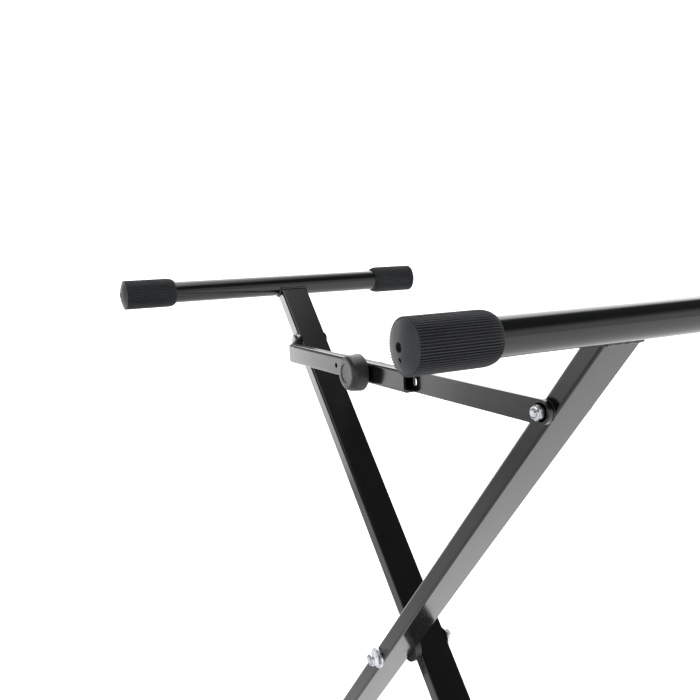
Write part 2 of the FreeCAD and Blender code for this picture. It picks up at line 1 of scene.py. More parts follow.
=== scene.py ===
"""Looks of the folding keyboard stand: studio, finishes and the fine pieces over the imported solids.

Lengths in the tables are millimetres in the stand's own frame; meshes are written in metres.
"""
import json
import math
import bmesh
import bpy
import numpy as np
from mathutils import Matrix


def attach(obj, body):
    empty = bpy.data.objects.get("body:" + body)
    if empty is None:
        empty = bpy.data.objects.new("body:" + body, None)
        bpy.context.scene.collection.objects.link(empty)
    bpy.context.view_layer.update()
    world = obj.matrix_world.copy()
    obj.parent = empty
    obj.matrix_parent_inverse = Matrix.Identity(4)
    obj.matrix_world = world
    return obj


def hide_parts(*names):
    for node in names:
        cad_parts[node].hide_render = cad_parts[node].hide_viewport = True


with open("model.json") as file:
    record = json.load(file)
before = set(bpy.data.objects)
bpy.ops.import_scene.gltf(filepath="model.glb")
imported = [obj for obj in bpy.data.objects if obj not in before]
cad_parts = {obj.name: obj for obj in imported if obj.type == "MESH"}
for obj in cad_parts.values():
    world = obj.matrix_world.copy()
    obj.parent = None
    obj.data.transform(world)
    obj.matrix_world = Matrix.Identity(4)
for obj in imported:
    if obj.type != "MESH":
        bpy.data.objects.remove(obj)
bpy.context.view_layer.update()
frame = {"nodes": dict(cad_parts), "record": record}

MM = 0.001

# Legs, tubes and their places
LEAN = math.radians(40.35)
LEG_HALF = 465.0
LEG_WIDTH, LEG_DEPTH, LEG_CORNER = 15.0, 35.0, 2.2
LEGS_GAP = 7.4
LEG_INNER = LEGS_GAP / 2
LEG_OUTER = LEG_INNER + LEG_DEPTH
LEG_CENTRE = (LEG_INNER + LEG_OUTER) / 2
TUBE_RADIUS, TUBE_WALL = 12.5, 1.5
ARM_LENGTH, ARM_SHIFT, FOOT_LENGTH = 396.5, 5.5, 430.0

# Rubber ends: grips on the arms, shoes on the feet
BORE = 12.55
END_WALL = 5.0
ARM_END = 8.0
GRIP_RADIUS, GRIP_LENGTH, GRIP_DOME = 16.7, 58.5, 4.0
SHOULDER, SHOULDER_LENGTH, GRIP_RIM, MOUTH_EDGE = 3.5, 9.0, 0.25, 0.2
RIBS, RIB_DEPTH, RIB_GAP = 60, 1.5, 1.0
RIB_FLOOR, RIB_STEPS = 0.15, 12
RECESS, RECESS_DEPTH, VENT, VENT_DROP, VENT_EDGE = 2.8, 3.0, 1.3, 7.0, 0.3
SHOE_RADIUS, SHOE_LENGTH, SHOE_ROUNDING, SHOE_FLAT = 17.0, 48.0, 3.0, 1.0
TREAD_PITCH, TREAD_WIDTH, TREAD_DEPTH, TREAD_EDGE, TREADS = 7.0, 2.0, 1.2, 0.4, 4

# Heights that follow
FOOT_Z = SHOE_RADIUS - SHOE_FLAT
PIVOT_Z = FOOT_Z + LEG_HALF * math.cos(LEAN)
ARM_Z = PIVOT_Z + LEG_HALF * math.cos(LEAN)
SPREAD = LEG_HALF * math.sin(LEAN)

# Brace: pivots, slotted bar, channel and clamp
BRACE_DROP = 85.0
BRACE_RADIUS = LEG_HALF - BRACE_DROP
BRACE_X = BRACE_RADIUS * math.sin(LEAN)
BRACE_Z = PIVOT_Z + BRACE_RADIUS * math.cos(LEAN)
SLIP_WASHER, BAR_WASHER = 1.0, 1.0
BAR_THICKNESS, BAR_HEIGHT, BAR_TAIL, BAR_HOLE, BAR_EDGE = 4.0, 18.4, 9.0, 6.1, 0.35
SLOT_WIDTH, SLOT_FIT = 8.6, 0.4
BAR_BACK = -LEG_OUTER - SLIP_WASHER
BAR_FRONT = BAR_BACK - BAR_THICKNESS
CLAMP_PLACE = 258.0
CLAMP_X = CLAMP_PLACE - BRACE_X
CLOSE, OPEN = math.radians(7), math.radians(5)
SLOT_NEAR = 2 * BRACE_RADIUS * math.sin(LEAN - CLOSE) - CLAMP_PLACE - SLOT_FIT
SLOT_FAR = 2 * BRACE_RADIUS * math.sin(LEAN + OPEN) - CLAMP_PLACE + SLOT_FIT
SLIDE_FIT, CHANNEL_DEPTH, SHEET = 0.1, 9.6, 2.5
CHANNEL_FRONT = BAR_FRONT - SLIDE_FIT - CHANNEL_DEPTH
CLAMP_WASHER, STRIP, CLAMP_NUT, SCREW_PROUD = 1.6, 2.5, 6.5, 1.0
KNOB_BACK = CHANNEL_FRONT - CLAMP_WASHER
KNOB_RADIUS, KNOB_NOSE, KNOB_LENGTH, DISH, DISH_DEPTH, DISH_SLOPE = 17.5, 16.0, 15.5, 9.0, 0.6, 0.8
SCREW_TIP = BAR_BACK + SLIDE_FIT + STRIP + CLAMP_NUT + SCREW_PROUD
PAD_FRONT = LEG_INNER - SLIP_WASHER - SHEET

# Fasteners: radii, thread pitches and end chamfers
M6, M6_PITCH, M8, M8_PITCH = 3.0, 1.0, 4.0, 1.25
BOLT_CHAMFER, SCREW_CHAMFER, THREAD_RUNOUT, SCREW_BITE = 0.8, 0.9, 0.3, 9.0
PIVOT_WASHER = 2.0
PIVOT_FLATS, PIVOT_HEAD, PIVOT_NUT = 13.0, 5.3, 8.0
BRACE_FLATS, BRACE_HEAD, BRACE_NUT = 10.0, 4.0, 6.0
BOLT_PROUD = 1.0
RIVET_HEAD, RIVET_RISE, RIVET_ROUNDING = 7.0, 2.0, 1.5
CHAMFER_SLOPE = math.tan(math.radians(30))
CHAMFER_ROWS = 0.15

# Weld beads
BEAD, BEAD_RIPPLE, BEAD_PITCH, BEAD_WANDER, WANDER_RATE = 1.8, 0.35, 2.4, 0.2, 0.71


def linear(code, alpha=1.0):
    """sRGB hex colour as linear RGBA."""
    s = np.array([int(code[i:i + 2], 16) for i in (1, 3, 5)]) / 255
    return (*np.where(s <= 0.04045, s / 12.92, ((s + 0.055) / 1.055) ** 2.4), alpha)


def node(tree, kind, settings=(), **inputs):
    """One shader node: its settings, then its inputs, each a value or another node's output socket.

    An input goes by its name, with _ for a blank, or by i and its place.
    """
    item = tree.nodes.new(kind)
    for name, value in dict(settings).items():
        setattr(item, name, value)
    for name, value in inputs.items():
        socket = item.inputs[int(name[1:]) if name[1:].isdigit() else name.replace("_", " ")]
        if isinstance(value, bpy.types.NodeSocket):
            tree.links.new(value, socket)
        else:
            socket.default_value = value
    return item


def new_finish(name):
    """Empty material with its tree and the Object coordinates that its patterns read."""
    material = bpy.data.materials.new(name)
    material.use_nodes = True
    tree = material.node_tree
    tree.nodes.clear()
    return material, tree, node(tree, "ShaderNodeTexCoord").outputs["Object"]


def powder_coat():
    """Black powder-coated steel: sprayed and baked, semi-gloss with a fine orange peel about 1.2 mm wide."""
    material, tree, place = new_finish("black_powder_coated_steel")
    peel = node(tree, "ShaderNodeTexNoise", Vector=place, Scale=1 / (1.2 * MM), Detail=2.0, Roughness=0.5)
    cloud = node(tree, "ShaderNodeTexNoise", Vector=place, Scale=1 / (45 * MM), Detail=3.0, Roughness=0.6)
    shade = node(tree, "ShaderNodeMix", {"data_type": "RGBA"}, i0=cloud.outputs[0], i6=linear("#08090a"),
                 i7=linear("#0d0e10"))
    rough = node(tree, "ShaderNodeMapRange", i0=cloud.outputs[0], i1=0.3, i2=0.7, i3=0.13, i4=0.20)
    bump = node(tree, "ShaderNodeBump", Strength=0.10, Distance=0.06 * MM, Height=peel.outputs[0])
    shader = node(tree, "ShaderNodeBsdfPrincipled", Base_Color=shade.outputs[2], Roughness=rough.outputs[0],
                  Normal=bump.outputs[0], IOR=1.5)
    node(tree, "ShaderNodeOutputMaterial", Surface=shader.outputs[0])
    return material


def moulded_rubber():
    """Black moulded rubber: matte, with a faint grey bloom 14 mm wide and a mould skin of 0.5 mm grain."""
    material, tree, place = new_finish("black_moulded_rubber")
    skin = node(tree, "ShaderNodeTexNoise", Vector=place, Scale=1 / (0.5 * MM), Detail=2.0, Roughness=0.6)
    bloom = node(tree, "ShaderNodeTexNoise", Vector=place, Scale=1 / (14 * MM), Detail=4.0, Roughness=0.6)
    shade = node(tree, "ShaderNodeMix", {"data_type": "RGBA"}, i0=bloom.outputs[0], i6=linear("#202225"),
                 i7=linear("#2b2d31"))
    rough = node(tree, "ShaderNodeMapRange", i0=bloom.outputs[0], i1=0.3, i2=0.7, i3=0.50, i4=0.66)
    bump = node(tree, "ShaderNodeBump", Strength=0.25, Distance=0.05 * MM, Height=skin.outputs[0])
    shader = node(tree, "ShaderNodeBsdfPrincipled", Base_Color=shade.outputs[2], Roughness=rough.outputs[0],
                  Normal=bump.outputs[0], IOR=1.52)
    node(tree, "ShaderNodeOutputMaterial", Surface=shader.outputs[0])
    return material


def zinc_plate():
    """Bright zinc-plated steel: pressed and tumbled, with dents under 1 mm and a cloudy, bluish shine."""
    material, tree, place = new_finish("bright_zinc_plated_steel")
    cloud = node(tree, "ShaderNodeTexNoise", Vector=place, Scale=1 / (3 * MM), Detail=4.0, Roughness=0.65)
    dents = node(tree, "ShaderNodeTexNoise", Vector=place, Scale=1 / (0.9 * MM), Detail=2.0, Roughness=0.5)
    shade = node(tree, "ShaderNodeMix", {"data_type": "RGBA"}, i0=cloud.outputs[0], i6=linear("#a9adb2"),
                 i7=linear("#d6d9dc"))
    rough = node(tree, "ShaderNodeMapRange", i0=cloud.outputs[0], i1=0.3, i2=0.7, i3=0.22, i4=0.36)
    bump = node(tree, "ShaderNodeBump", Strength=0.15, Distance=0.04 * MM, Height=dents.outputs[0])
    shader = node(tree, "ShaderNodeBsdfPrincipled", Base_Color=shade.outputs[2], Roughness=rough.outputs[0],
                  Normal=bump.outputs[0], Metallic=1.0)
    node(tree, "ShaderNodeOutputMaterial", Surface=shader.outputs[0])
    return material


def satin_plastic():
    """Black ABS: moulded against a spark-eroded tool, satin with a fine even grain about 0.35 mm wide."""
    material, tree, place = new_finish("black_moulded_abs")
    grain = node(tree, "ShaderNodeTexNoise", Vector=place, Scale=1 / (0.35 * MM), Detail=2.0, Roughness=0.6)
    cloud = node(tree, "ShaderNodeTexNoise", Vector=place, Scale=1 / (9 * MM), Detail=3.0, Roughness=0.5)
    shade = node(tree, "ShaderNodeMix", {"data_type": "RGBA"}, i0=cloud.outputs[0], i6=linear("#131315"),
                 i7=linear("#1a1a1d"))
    rough = node(tree, "ShaderNodeMapRange", i0=cloud.outputs[0], i1=0.3, i2=0.7, i3=0.38, i4=0.48)
    bump = node(tree, "ShaderNodeBump", Strength=0.18, Distance=0.04 * MM, Height=grain.outputs[0])
    shader = node(tree, "ShaderNodeBsdfPrincipled", Base_Color=shade.outputs[2], Roughness=rough.outputs[0],
                  Normal=bump.outputs[0], IOR=1.52)
    node(tree, "ShaderNodeOutputMaterial", Surface=shader.outputs[0])
    return material


def black_nylon():
    """Black nylon of the washers and locking rings: moulded, with a waxy skin clouded over 4 mm."""
    material, tree, place = new_finish("black_nylon")
    cloud = node(tree, "ShaderNodeTexNoise", Vector=place, Scale=1 / (4 * MM), Detail=3.0, Roughness=0.5)
    shade = node(tree, "ShaderNodeMix", {"data_type": "RGBA"}, i0=cloud.outputs[0], i6=linear("#161618"),
                 i7=linear("#1f1f22"))
    rough = node(tree, "ShaderNodeMapRange", i0=cloud.outputs[0], i1=0.3, i2=0.7, i3=0.40, i4=0.55)
    shader = node(tree, "ShaderNodeBsdfPrincipled", Base_Color=shade.outputs[2], Roughness=rough.outputs[0],
                  IOR=1.53)
    node(tree, "ShaderNodeOutputMaterial", Surface=shader.outputs[0])
    return material


FINISHES = {"coated_steel": powder_coat(), "rubber": moulded_rubber(), "zinc_steel": zinc_plate(),
            "black_plastic": satin_plastic(), "nylon": black_nylon()}


def paint_nodes():
    """The finish of each carried-over solid, by its material slot in the record."""
    slots = {part["node"]: part["material_slot"] for part in frame["record"]["subparts"]}
    for name, item in frame["nodes"].items():
        item.data.materials.clear()
        item.data.materials.append(FINISHES[slots[name]])


def piece(mesh, body, slot, replaces=(), sharp=35.0):
    """Object of a mesh on a body: doubles merged, normals outwards, smooth but for edges past an angle."""
    work = bmesh.new()
    work.from_mesh(mesh)
    bmesh.ops.remove_doubles(work, verts=work.verts, dist=0.002 * MM)
    bmesh.ops.recalc_face_normals(work, faces=work.faces)
    work.to_mesh(mesh)
    work.free()
    mesh.shade_smooth()
    mesh.set_sharp_from_angle(angle=math.radians(sharp))
    mesh.materials.clear()
    mesh.materials.append(FINISHES[slot])
    item = bpy.data.objects.new(mesh.name, mesh)
    bpy.context.scene.collection.objects.link(item)
    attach(item, body)
    if replaces:
        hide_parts(*replaces)


def grid(name, points, body, slot, replaces=(), sharp=35.0, ring=False):
    """Piece of a grid of points, shape (rows, columns, 3) in millimetres, closed along its columns.

    Cell (i, j) is the quad of points (i, j), (i, j+1), (i+1, j+1), (i+1, j); ring closes the rows as well.
    Points that fall together at a pole are merged.
    """
    rows, columns = points.shape[:2]
    index = np.arange(rows * columns).reshape(rows, columns)
    index = np.hstack([index, index[:, :1]])
    if ring:
        index = np.vstack([index, index[:1]])
    quads = np.stack([index[:-1, :-1], index[:-1, 1:], index[1:, 1:], index[1:, :-1]], axis=-1)
    mesh = bpy.data.meshes.new(name)
    mesh.from_pydata((points.reshape(-1, 3) * MM).tolist(), [], quads.reshape(-1, 4).tolist())
    piece(mesh, body, slot, replaces, sharp)


def turned(profile, steps):
    """Profile of (radius r, height h) turned about the local z axis: (r cos a, r sin a, h) at even a."""
    angle = np.arange(steps) * (2 * math.pi / steps)
    r, h = np.asarray(profile, float).T
    heights = np.repeat(h[:, None], steps, 1)
    return np.stack([np.outer(r, np.cos(angle)), np.outer(r, np.sin(angle)), heights], axis=-1)


def rounded(profile, radii, steps=6):
    """Profile whose listed corners become arcs.

    An arc's centre lies on the corner's bisector, radius / sin(half the corner's angle) away.
    """
    points = np.asarray(profile, float)
    out = [points[:1]]
    for i, (a, b, c) in enumerate(zip(points, points[1:], points[2:]), start=1):
        if i not in radii:
            out.append(b[None])
            continue
        u = (a - b) / np.linalg.norm(a - b)
        v = (c - b) / np.linalg.norm(c - b)
        half = math.acos(np.clip(u @ v, -1, 1)) / 2
        centre = b + (u + v) / np.linalg.norm(u + v) * radii[i] / math.sin(half)
        reach = radii[i] / math.tan(half)
        t = np.linspace(0, 1, steps + 1)[:, None]
        chord = (b + u * reach) * (1 - t) + (b + v * reach) * t - centre
        out.append(centre + chord / np.linalg.norm(chord, axis=1, keepdims=True) * radii[i])
    return np.concatenate([*out, points[-1:]])


def filled(profile, gap):
    """Profile with rows added along its straight runs, so that none is longer than a gap."""
    points = np.asarray(profile, float)
    lengths = np.linalg.norm(np.diff(points, axis=0), axis=1)
    counts = np.maximum(1, np.ceil(lengths / gap).astype(int))
    runs = [np.linspace(a, b, n, endpoint=False) for a, b, n in zip(points, points[1:], counts)]
    return np.concatenate([*runs, points[-1:]])


def to_front(points, x, y, z):
    """Local points with their z axis laid towards the front (-Y) and their y axis up, at a place."""
    return np.stack([x + points[..., 0], y - points[..., 2], z + points[..., 1]], axis=-1)


def to_rear(points, x, y, z):
    """Local points with their z axis laid towards the rear (+Y) and their y axis up, at a place."""
    return np.stack([x - points[..., 0], y + points[..., 2], z + points[..., 1]], axis=-1)


def grip_points():
    """Ribbed sleeve with a domed end: a profile turned about its axis, cut by even grooves and one vent.

    The shoulder is a quarter of an ellipse and the dome a circle's cap inside the ribs' square ends. At arc
    length d from the nearest groove's middle the radius is less by depth * exp(-(2 d / gap)^4), a groove with
    a flat floor and steep sides. Near the mouth depth is what the wall leaves; towards the dome the floors
    run straight out.
    """
    base = GRIP_RADIUS - RIB_DEPTH - 0.1
    cap = (base ** 2 + GRIP_DOME ** 2) / (2 * GRIP_DOME)
    tip = GRIP_LENGTH + GRIP_DOME
    quarter = np.linspace(0, math.pi / 2, 24)
    shoulder = np.stack([GRIP_RADIUS - SHOULDER * (1 - np.sin(quarter)),
                         SHOULDER_LENGTH * (1 - np.cos(quarter))], axis=-1)
    round_vent = np.linspace(9.2, 4.8, 28)
    across = np.concatenate([np.linspace(base, 9.6, 12), round_vent, np.linspace(4.6, RECESS + 0.3, 6)])
    dome = np.stack([across, tip - cap + np.sqrt(cap ** 2 - across ** 2)], axis=-1)
    lip = dome[-1, 1]
    bottom = lip - RECESS_DEPTH
    well = rounded([dome[-1], (RECESS, lip), (RECESS, bottom), (0, bottom)], {1: 0.2, 2: 0.3}, 4)
    rim = rounded([(GRIP_RADIUS, GRIP_LENGTH - 4), (GRIP_RADIUS, GRIP_LENGTH), dome[0]], {1: GRIP_RIM}, 4)
    body = filled([shoulder[-1], rim[0]], 1.6)
    mouth = [(BORE, SHOULDER_LENGTH), (BORE, MOUTH_EDGE), (BORE + MOUTH_EDGE, 0)]
    profile = np.concatenate([mouth, shoulder, body[1:-1], rim[1:-1], dome, well[1:]])
    steps = RIBS * RIB_STEPS
    points = turned(profile, steps)
    pitch = 2 * math.pi / RIBS
    angle = np.arange(steps) * (2 * math.pi / steps)
    aside = np.abs((angle + pitch / 2) % pitch - pitch / 2) * GRIP_RADIUS
    r, h = profile.T
    shape = np.exp(-(2 * aside / RIB_GAP) ** 4)
    on_wall = np.outer(np.clip(r - BORE - RIB_FLOOR, 0, RIB_DEPTH), shape)
    to_floor = np.maximum(r[:, None] - GRIP_RADIUS + RIB_DEPTH * shape, 0)
    groove = np.where((h > GRIP_LENGTH / 2)[:, None], to_floor, on_wall)
    points[..., :2] *= (1 - groove / np.maximum(r, BORE)[:, None])[..., None]
    from_vent = np.hypot(points[..., 0], points[..., 1] + VENT_DROP)
    on_end = (h > GRIP_LENGTH)[:, None]
    points[..., 2] -= on_end * np.clip((VENT - from_vent) / VENT_EDGE, 0, 1) * RECESS_DEPTH
    return points


def shoe_points():
    """Grooved shoe: a turned profile whose lower side is pressed flat, y >= flat - radius, for a sole."""
    corners = [(BORE, SHOE_LENGTH - END_WALL), (BORE, 0), (SHOE_RADIUS, 0)]
    radii = {2: SHOE_ROUNDING}
    bottom = SHOE_RADIUS - TREAD_DEPTH
    for start in TREAD_PITCH * (1 + np.arange(TREADS)):
        stop = start + TREAD_WIDTH
        radii |= dict.fromkeys(range(len(corners), len(corners) + 4), TREAD_EDGE)
        corners += [(SHOE_RADIUS, start), (bottom, start), (bottom, stop), (SHOE_RADIUS, stop)]
    radii[len(corners)] = SHOE_ROUNDING
    corners += [(SHOE_RADIUS, SHOE_LENGTH), (0, SHOE_LENGTH)]
    points = turned(filled(rounded(corners, radii), 2.0), 144)
    points[..., 1] = np.maximum(points[..., 1], SHOE_FLAT - SHOE_RADIUS)
    return points


def rubber_ends():
    """Four ribbed grips on the arm tubes and four grooved shoes on the foot tubes."""
    grip, shoe = grip_points(), shoe_points()
    grip_mouth = ARM_LENGTH / 2 - GRIP_LENGTH - GRIP_DOME
    shoe_mouth = FOOT_LENGTH / 2 - SHOE_LENGTH
    for side, x, arm_body, foot_body in (("left", -SPREAD, "rear_frame", "front_frame"),
                                         ("right", SPREAD, "front_frame", "rear_frame")):
        for end, lay, sign in (("front", to_front, -1), ("rear", to_rear, 1)):
            arm, foot = f"{side}_arm_{end}_grip", f"{side}_foot_{end}_shoe"
            sleeve = lay(grip, x, ARM_SHIFT + sign * grip_mouth, ARM_Z)
            grid(f"{arm}_ribbed", sleeve, arm_body, "rubber", (arm,), 50)
            grid(f"{foot}_grooved", lay(shoe, x, sign * shoe_mouth, FOOT_Z), foot_body, "rubber", (foot,))


def tubes():
    """Drawn steel tubes: outer wall, end, inner wall, end, turned about the tube's axis with broken edges."""
    inner = TUBE_RADIUS - TUBE_WALL
    arm, foot = ARM_LENGTH / 2 - ARM_END, FOOT_LENGTH / 2 - END_WALL
    for name, x, y, z, half, body in (("left_arm_tube", -SPREAD, ARM_SHIFT, ARM_Z, arm, "rear_frame"),
                                      ("right_arm_tube", SPREAD, ARM_SHIFT, ARM_Z, arm, "front_frame"),
                                      ("left_foot_tube", -SPREAD, 0, FOOT_Z, foot, "front_frame"),
                                      ("right_foot_tube", SPREAD, 0, FOOT_Z, foot, "rear_frame")):
        corners = [(inner, 0), (inner, -half), (TUBE_RADIUS, -half), (TUBE_RADIUS, half), (inner, half),
                   (inner, 0)]
        profile = rounded(corners, dict.fromkeys(range(1, 5), 0.3), 3)[:-1]
        points = to_rear(turned(filled(profile, 16), 144), x, y, z)
        grid(f"{name}_drawn", points, body, "coated_steel", (name,), ring=True)


def knob():
    """Moulded knob: a drafted drum with a broad rounded nose, a shallow dish and a rounded foot."""
    bottom = KNOB_LENGTH - DISH_DEPTH
    corners = [(0, SCREW_BITE), (M8, SCREW_BITE), (M8, 0), (KNOB_RADIUS, 0), (KNOB_NOSE, KNOB_LENGTH),
               (DISH, KNOB_LENGTH), (DISH - DISH_SLOPE, bottom), (0, bottom)]
    profile = rounded(corners, {3: 1.2, 4: 5.0, 5: 0.5, 6: 1.0}, 12)
    points = to_front(turned(profile, 160), CLAMP_X, KNOB_BACK, BRACE_Z)
    grid("clamp_knob_moulded", points, "clamp", "black_plastic", ("clamp_knob",))


def hexed(profile, flats, steps=192):
    """Turned profile kept in a hexagon: radius at most flats / 2 / cos(angle from the nearest flat)."""
    points = turned(profile, steps)
    angle = np.arange(steps) * (2 * math.pi / steps)
    prism = flats / 2 / np.cos((angle + math.pi / 6) % (math.pi / 3) - math.pi / 6)
    radius = np.asarray(profile, float)[:, :1]
    points[..., :2] *= (np.minimum(radius, prism) / np.maximum(radius, MM))[..., None]
    return points


def threaded(points, start, stop, pitch):
    """Points with a screw thread between two heights.

    The radius is less by depth * (1 - cos(2 pi h / pitch - angle)) / 2.
    """
    h = points[..., 2]
    depth = 0.6 * pitch * np.clip(np.minimum(h - start, stop - h) / pitch, 0, 1)
    wave = (1 - np.cos(2 * math.pi * h / pitch - np.arctan2(points[..., 1], points[..., 0]))) / 2
    radius = np.maximum(np.hypot(points[..., 0], points[..., 1]), MM)
    cut = np.where(radius > pitch, depth * wave / radius, 0)
    points[..., :2] *= (1 - cut)[..., None]
    return points


def hex_bolt(name, radius, flats, head, reach, pitch, at, body):
    """Bolt with a chamfered hexagon head below zero, a plain shank and a threaded, chamfered end."""
    corner, face = flats / math.sqrt(3), 0.475 * flats
    chamfer = (corner - face) * CHAMFER_SLOPE
    crown = filled([(face, -head), (corner, chamfer - head)], CHAMFER_ROWS)
    plain = reach - 12 * pitch
    thread = filled([(radius, plain), (radius, reach - BOLT_CHAMFER)], pitch / 12)
    end = [(radius - BOLT_CHAMFER, reach), (0, reach)]
    profile = np.concatenate([[(0, -head)], crown, [(corner, 0), (radius, 0)], thread, end])
    points = threaded(hexed(profile, flats), plain, reach - THREAD_RUNOUT, pitch)
    grid(f"{name}_zinc", to_front(points, *at), body, "zinc_steel", (name,), 28)


def lock_nut(name, radius, flats, height, at, body):
    """Hexagon nut chamfered at both faces, with a rolled collar over a nylon locking ring."""
    corner, face, collar, lip = flats / math.sqrt(3), 0.475 * flats, 0.45 * flats, 0.36 * flats
    chamfer = (corner - face) * CHAMFER_SLOPE
    wrench = 0.75 * height
    seat = height - 0.9
    ring_top, ring_edge = seat + 0.4, lip - 0.05
    low = filled([(face, 0), (corner, chamfer)], CHAMFER_ROWS)
    high = filled([(corner, wrench - chamfer), (face, wrench)], CHAMFER_ROWS)
    rim = [(collar, wrench), (collar, height), (lip, height), (lip, seat), (radius, seat)]
    top = rounded(rim, {1: 1.0, 2: 0.25}, 6)
    profile = np.concatenate([[(radius, 0)], low, high, top])
    grid(f"{name}_zinc", to_front(hexed(profile, flats), *at), body, "zinc_steel", (name,), 28, ring=True)
    section = [(radius, seat), (radius, ring_top), (ring_edge, ring_top), (ring_edge, seat)]
    ring = turned(rounded(section, {1: 0.15, 2: 0.15}, 3), 96)
    grid(f"{name}_locking_ring", to_front(ring, *at), body, "nylon", ring=True)


def fasteners():
    """Centre bolt and nut, the bar's bolt and nut, the channel's rivet and the clamp's screw."""
    washer = LEG_OUTER + PIVOT_WASHER
    reach = 2 * washer + (PIVOT_NUT + BOLT_PROUD)
    hex_bolt("pivot_bolt", M8, PIVOT_FLATS, PIVOT_HEAD, reach, M8_PITCH, (0, washer, PIVOT_Z), "pivot")
    lock_nut("pivot_nut", M8, PIVOT_FLATS, PIVOT_NUT, (0, -washer, PIVOT_Z), "pivot")
    seat = BAR_FRONT - BAR_WASHER
    reach = BRACE_NUT + BOLT_PROUD - seat - LEG_INNER
    start = (BRACE_X, -LEG_INNER, BRACE_Z)
    hex_bolt("bar_pivot_bolt", M6, BRACE_FLATS, BRACE_HEAD, reach, M6_PITCH, start, "front_frame")
    lock_nut("bar_pivot_nut", M6, BRACE_FLATS, BRACE_NUT, (BRACE_X, seat, BRACE_Z), "front_frame")
    end = LEG_OUTER - PAD_FRONT
    tail = end + RIVET_RISE
    corners = [(0, -RIVET_RISE), (RIVET_HEAD, -RIVET_RISE), (RIVET_HEAD, 0), (M6, 0),
               (M6, end), (RIVET_HEAD, end), (RIVET_HEAD, tail), (0, tail)]
    rivet = turned(rounded(corners, {1: RIVET_ROUNDING, 6: RIVET_ROUNDING}), 96)
    grid("channel_pivot_rivet_pressed", to_rear(rivet, -BRACE_X, PAD_FRONT, BRACE_Z), "rear_frame",
         "coated_steel", ("channel_pivot_rivet",))
    length = SCREW_TIP - KNOB_BACK + SCREW_BITE
    shank = filled([(M8, 0), (M8, length - SCREW_CHAMFER)], 0.1)
    profile = np.concatenate([[(0, 0)], shank, [(M8 - SCREW_CHAMFER, length), (0, length)]])
    screw = threaded(turned(profile, 72), SCREW_BITE, length - THREAD_RUNOUT, M8_PITCH)
    grid("clamp_screw_threaded", to_rear(screw, CLAMP_X, KNOB_BACK - SCREW_BITE, BRACE_Z), "clamp",
         "zinc_steel", ("clamp_screw",), 60)


def stadium(near, far, width):
    """Outline round a slot along x, from one end's centre to the other's: two half circles."""
    angle = np.linspace(-math.pi / 2, math.pi / 2, 33)
    arc = np.stack([np.cos(angle), np.sin(angle)], axis=-1) * width / 2
    return np.concatenate([arc + (far, 0), (near, 0) - arc])


def bar():
    """Sheared flat bar: a flat outline with its slot and hole, filled and extruded with rounded edges."""
    curve = bpy.data.curves.new("bar_outline", "CURVE")
    curve.dimensions = "2D"
    curve.fill_mode = "BOTH"
    curve.bevel_depth = BAR_EDGE
    curve.offset = -BAR_EDGE
    curve.bevel_resolution = 2
    curve.extrude = BAR_THICKNESS / 2 - BAR_EDGE
    for loop in (stadium(-SLOT_FAR - BAR_TAIL, 0, BAR_HEIGHT), stadium(-SLOT_FAR, -SLOT_NEAR, SLOT_WIDTH),
                 stadium(0, 0, BAR_HOLE)[:-1]):
        spline = curve.splines.new("POLY")
        spline.points.add(len(loop) - 1)
        weighted = np.pad(loop, ((0, 0), (0, 2)), constant_values=((0, 0), (0, 1)))
        spline.points.foreach_set("co", weighted.ravel())
        spline.use_cyclic_u = True
    source = bpy.data.objects.new("bar_outline", curve)
    bpy.context.scene.collection.objects.link(source)
    mesh = bpy.data.meshes.new_from_object(source.evaluated_get(bpy.context.evaluated_depsgraph_get()))
    bpy.data.objects.remove(source)
    mesh.name = "brace_bar_sheared"
    flat = np.empty(len(mesh.vertices) * 3)
    mesh.vertices.foreach_get("co", flat)
    points = to_front(flat.reshape(-1, 3), BRACE_X, (BAR_FRONT + BAR_BACK) / 2, BRACE_Z) * MM
    mesh.vertices.foreach_set("co", points.ravel())
    piece(mesh, "bar", "coated_steel", ("brace_bar",), 12)


def weld(name, body, y, lean, end):
    """Weld bead round a leg where it meets a tube: a rippled round bead carried along the saddle line.

    The line is the leg's rounded outline laid on the tube: at distance w across the leg it is
    leg_half - sqrt(tube_radius^2 - w^2) up or down the leg. The bead swells at an even pitch along the line.
    """
    angle = np.linspace(0, 2 * math.pi, 480, endpoint=False)
    way = np.stack([np.cos(angle), np.sin(angle)], axis=-1)
    outline = np.sign(way) * (LEG_WIDTH / 2 - LEG_CORNER, LEG_DEPTH / 2 - LEG_CORNER) + LEG_CORNER * way
    loop = np.concatenate([outline, outline[:1]])
    travel = np.concatenate([[0], np.cumsum(np.linalg.norm(np.diff(loop, axis=0), axis=1))])
    even = np.linspace(0, travel[-1], 420, endpoint=False)
    across, along = (np.interp(even, travel, column) for column in loop.T)
    out_x, out_y = (np.interp(even, travel, np.append(column, column[0])) for column in way.T)
    rise = LEG_HALF - np.sqrt(TUBE_RADIUS ** 2 - across ** 2)
    ripple = BEAD_RIPPLE * np.abs(np.sin(math.pi * even / BEAD_PITCH))
    swell = BEAD + ripple + BEAD_WANDER * np.sin(even * WANDER_RATE)
    turn = np.arange(14) * (2 * math.pi / 14)
    side = np.outer(swell, np.cos(turn))
    w = across[:, None] + out_x[:, None] * side
    d = along[:, None] + out_y[:, None] * side
    h = end * (rise[:, None] + np.outer(swell, np.sin(turn)))
    points = np.stack([w * math.cos(lean) + h * math.sin(lean), y + d,
                       PIVOT_Z - w * math.sin(lean) + h * math.cos(lean)], axis=-1)
    grid(name, points, body, "coated_steel", sharp=80, ring=True)


